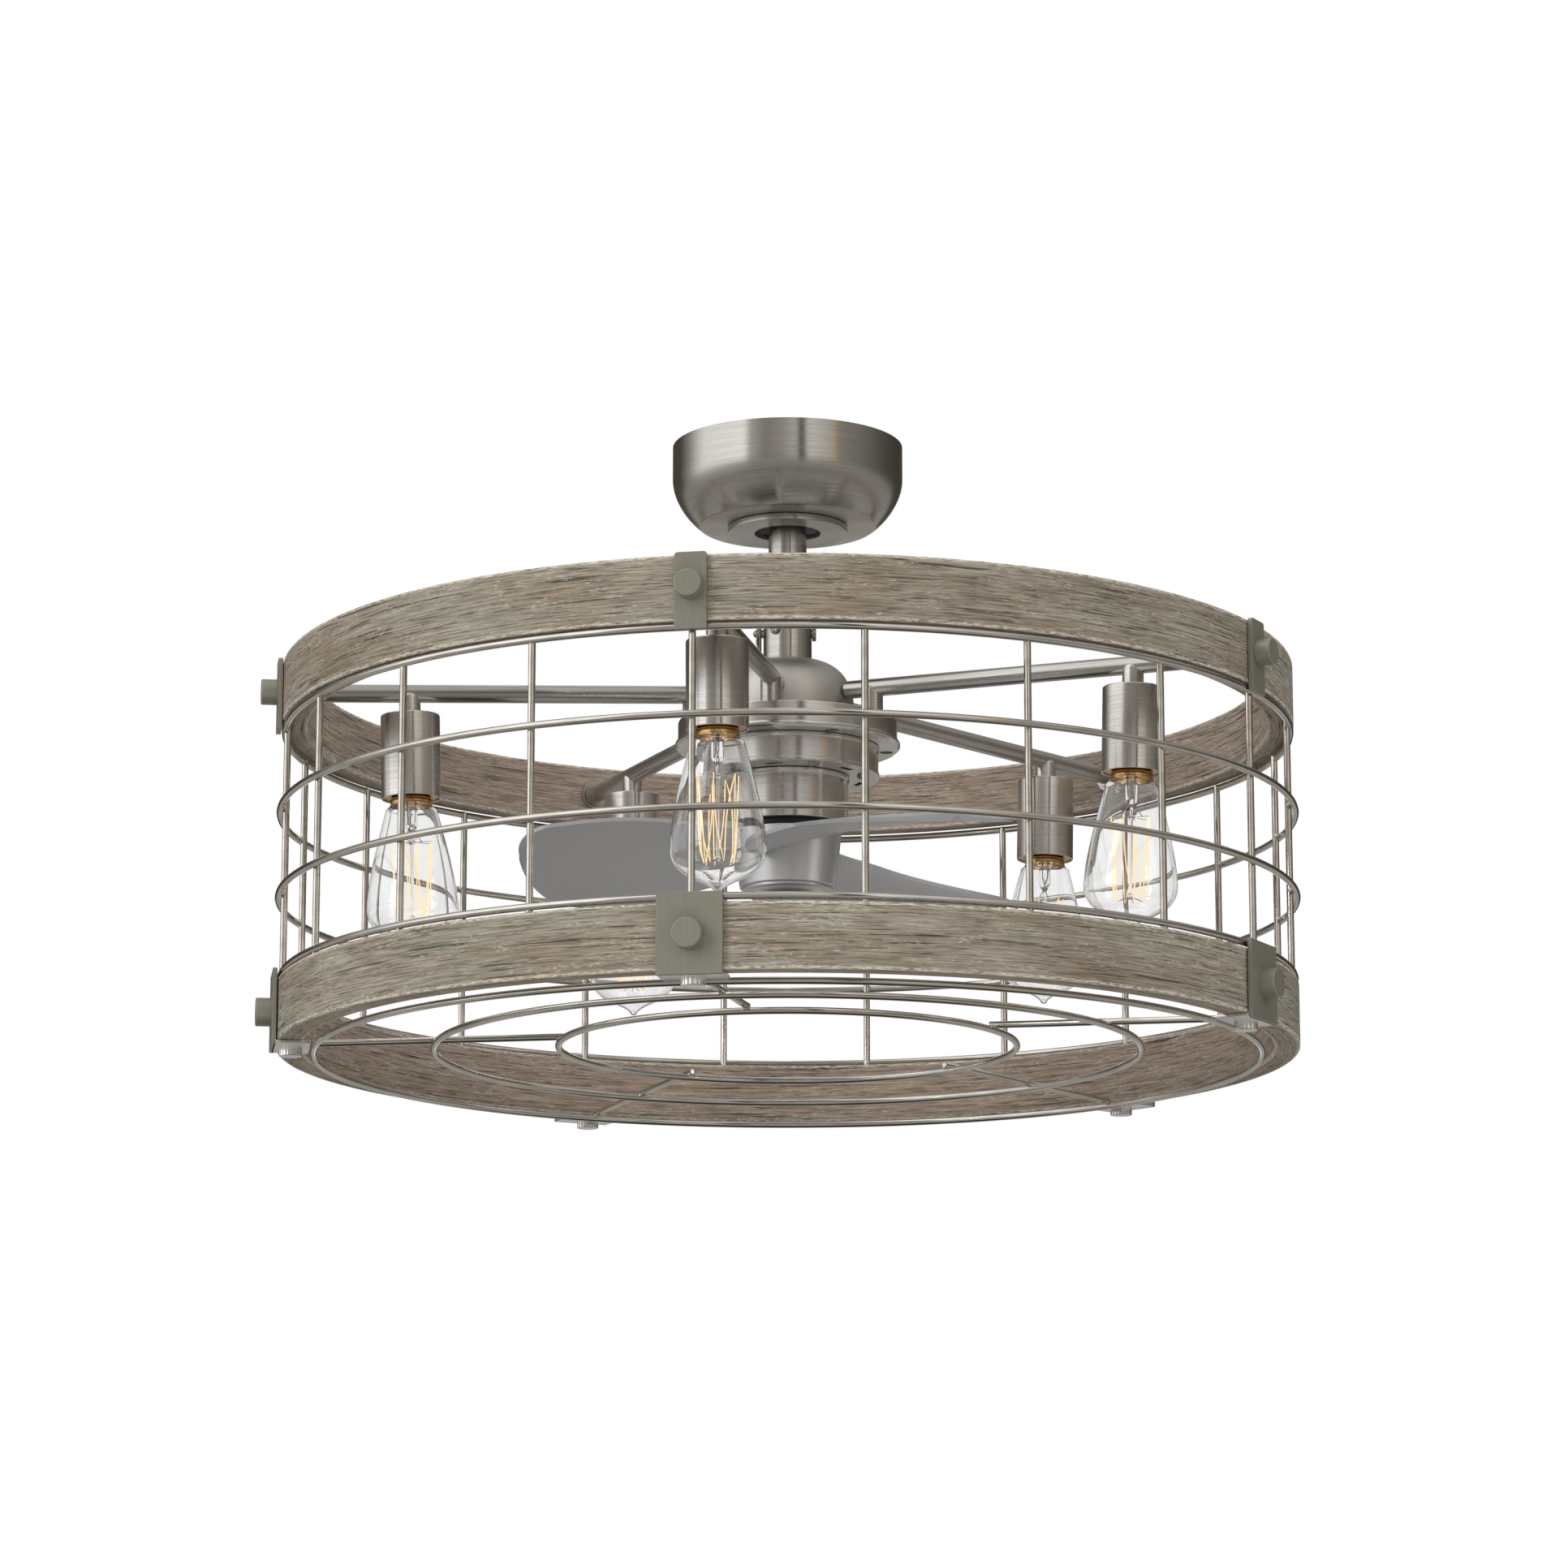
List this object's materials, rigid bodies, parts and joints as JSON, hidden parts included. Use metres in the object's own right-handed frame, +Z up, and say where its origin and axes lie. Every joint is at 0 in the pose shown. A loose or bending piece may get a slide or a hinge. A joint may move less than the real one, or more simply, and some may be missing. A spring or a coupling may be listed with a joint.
{
  "type": "chandelier ceiling fan",
  "caption": "Drum-shaped pendant light with a small fan inside: wood rings joined by a wire cage, lamps on radial arms and a short downrod to a ceiling canopy.",
  "frame": {"origin": "middle of the ceiling bracket's top face, on the fan's axis, in the plane of the ceiling", "axes": "+Z up out of the fixture into the ceiling, -Y towards the front of the picture, +X to its right"},
  "size_m": [0.7257, 0.724, 0.4463],
  "materials": {
    "brushed_nickel": "brushed nickel plate",
    "nickel_wire": "nickel-plated wire",
    "satin_bracket": "warm grey satin",
    "weathered_wood": "weathered grey-brown, matt",
    "silver_blade": "silver grey paint",
    "clear_glass": "clear glass",
    "black_plastic": "matt black",
    "zinc_steel": "zinc plate",
    "motor_laminations": "dark steel laminations"
  },
  "bodies": {
    "ceiling": {"ceiling_bracket": "zinc_steel", "canopy": "brushed_nickel", "canopy_cover": "brushed_nickel", "receiver_module": "black_plastic"},
    "ball": {"hanger_ball": "black_plastic", "cross_pin": "zinc_steel"},
    "pendant": {"downrod": "brushed_nickel", "coupling": "brushed_nickel", "clevis_pin": "zinc_steel", "hairpin_clip": "zinc_steel", "coupling_screw": "zinc_steel", "motor_dome": "brushed_nickel", "arm_flange": "brushed_nickel", "motor_casing": "brushed_nickel", "lower_casing": "brushed_nickel", "neck_ring": "black_plastic", "motor_shaft": "zinc_steel", "stator_core": "motor_laminations", "wood_ring_top": "weathered_wood", "wood_ring_bottom": "weathered_wood", "cage": "nickel_wire", "bottom_grille": "nickel_wire", "arm_1": "brushed_nickel", "arm_2": "brushed_nickel", "arm_3": "brushed_nickel", "arm_4": "brushed_nickel", "arm_5": "brushed_nickel", "socket_1": "brushed_nickel", "socket_2": "brushed_nickel", "socket_3": "brushed_nickel", "socket_4": "brushed_nickel", "socket_5": "brushed_nickel", "bulb_1": "clear_glass", "bulb_2": "clear_glass", "bulb_3": "clear_glass", "bulb_4": "clear_glass", "bulb_5": "clear_glass", "top_bracket_1": "satin_bracket", "top_bracket_2": "satin_bracket", "top_bracket_3": "satin_bracket", "top_bracket_4": "satin_bracket", "top_bracket_5": "satin_bracket", "top_knob_1": "satin_bracket", "top_knob_2": "satin_bracket", "top_knob_3": "satin_bracket", "top_knob_4": "satin_bracket", "top_knob_5": "satin_bracket", "bottom_bracket_1": "satin_bracket", "bottom_bracket_2": "satin_bracket", "bottom_bracket_3": "satin_bracket", "bottom_bracket_4": "satin_bracket", "bottom_bracket_5": "satin_bracket"},
    "rotor": {"blade_hub": "brushed_nickel", "hub_cap": "brushed_nickel", "magnet_ring": "motor_laminations", "upper_bearing": "zinc_steel", "lower_bearing": "zinc_steel", "blade_1": "silver_blade", "blade_2": "silver_blade", "blade_3": "silver_blade"}
  },
  "joints": [
    {"name": "swing_x", "type": "hinge", "parent": "ceiling", "child": "ball", "pos_m": [0, 0, -0.034], "axis": [1, 0, 0], "range_deg": [-8, 8]},
    {"name": "swing_y", "type": "hinge", "parent": "ball", "child": "pendant", "pos_m": [0, 0, -0.034], "axis": [0, 1, 0], "range_deg": [-8, 8]},
    {"name": "fan_spin", "type": "hinge", "parent": "pendant", "child": "rotor", "pos_m": [0, 0, -0.2804], "axis": [0, 0, 1], "continuous": true}
  ]
}
